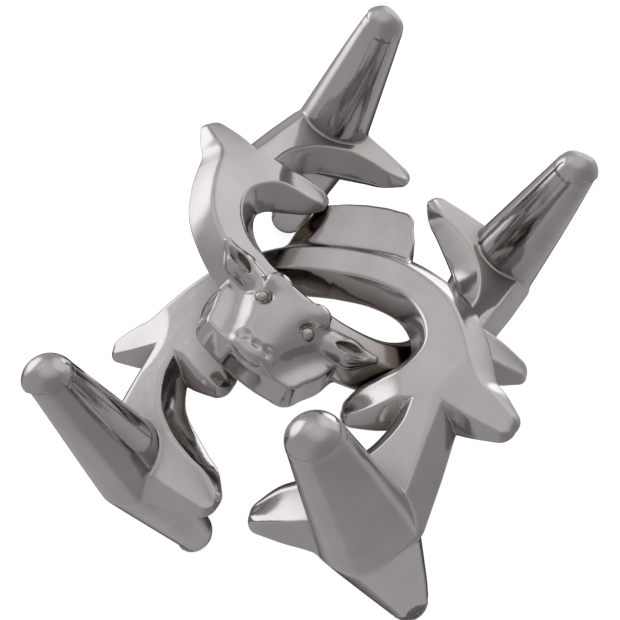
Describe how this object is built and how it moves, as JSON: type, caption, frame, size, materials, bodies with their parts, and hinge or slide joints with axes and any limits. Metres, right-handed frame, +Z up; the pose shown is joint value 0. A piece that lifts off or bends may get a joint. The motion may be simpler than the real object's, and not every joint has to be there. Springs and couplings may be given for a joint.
{
  "type": "metal disentanglement puzzle",
  "caption": "Pocket disentanglement puzzle of identical cast-metal antlered animal heads, hooked through each other so they swing and tilt but come apart only along a hidden path.",
  "frame": {"origin": "centre of the linked pair's bounding box, on the table it rests on", "axes": "+Z up from the table; +Y from the face-down casting towards the antler tips of the face-up casting; X along the face-up casting's width, from one antler beam to the other"},
  "size_m": [0.0513, 0.0546, 0.0446],
  "materials": {
    "plated_metal": "polished, slightly wavy as cast"
  },
  "bodies": {
    "face_up": {"face_up_casting": "plated_metal"},
    "face_down": {"face_down_casting": "plated_metal"}
  },
  "joints": [
    {"name": "hook_swing", "type": "hinge", "parent": "face_up", "child": "face_down", "pos_m": [0.0002, -0.0109, 0.0224], "axis": [0.3312, -0.9434, -0.0201], "range_deg": [0, 110]}
  ]
}
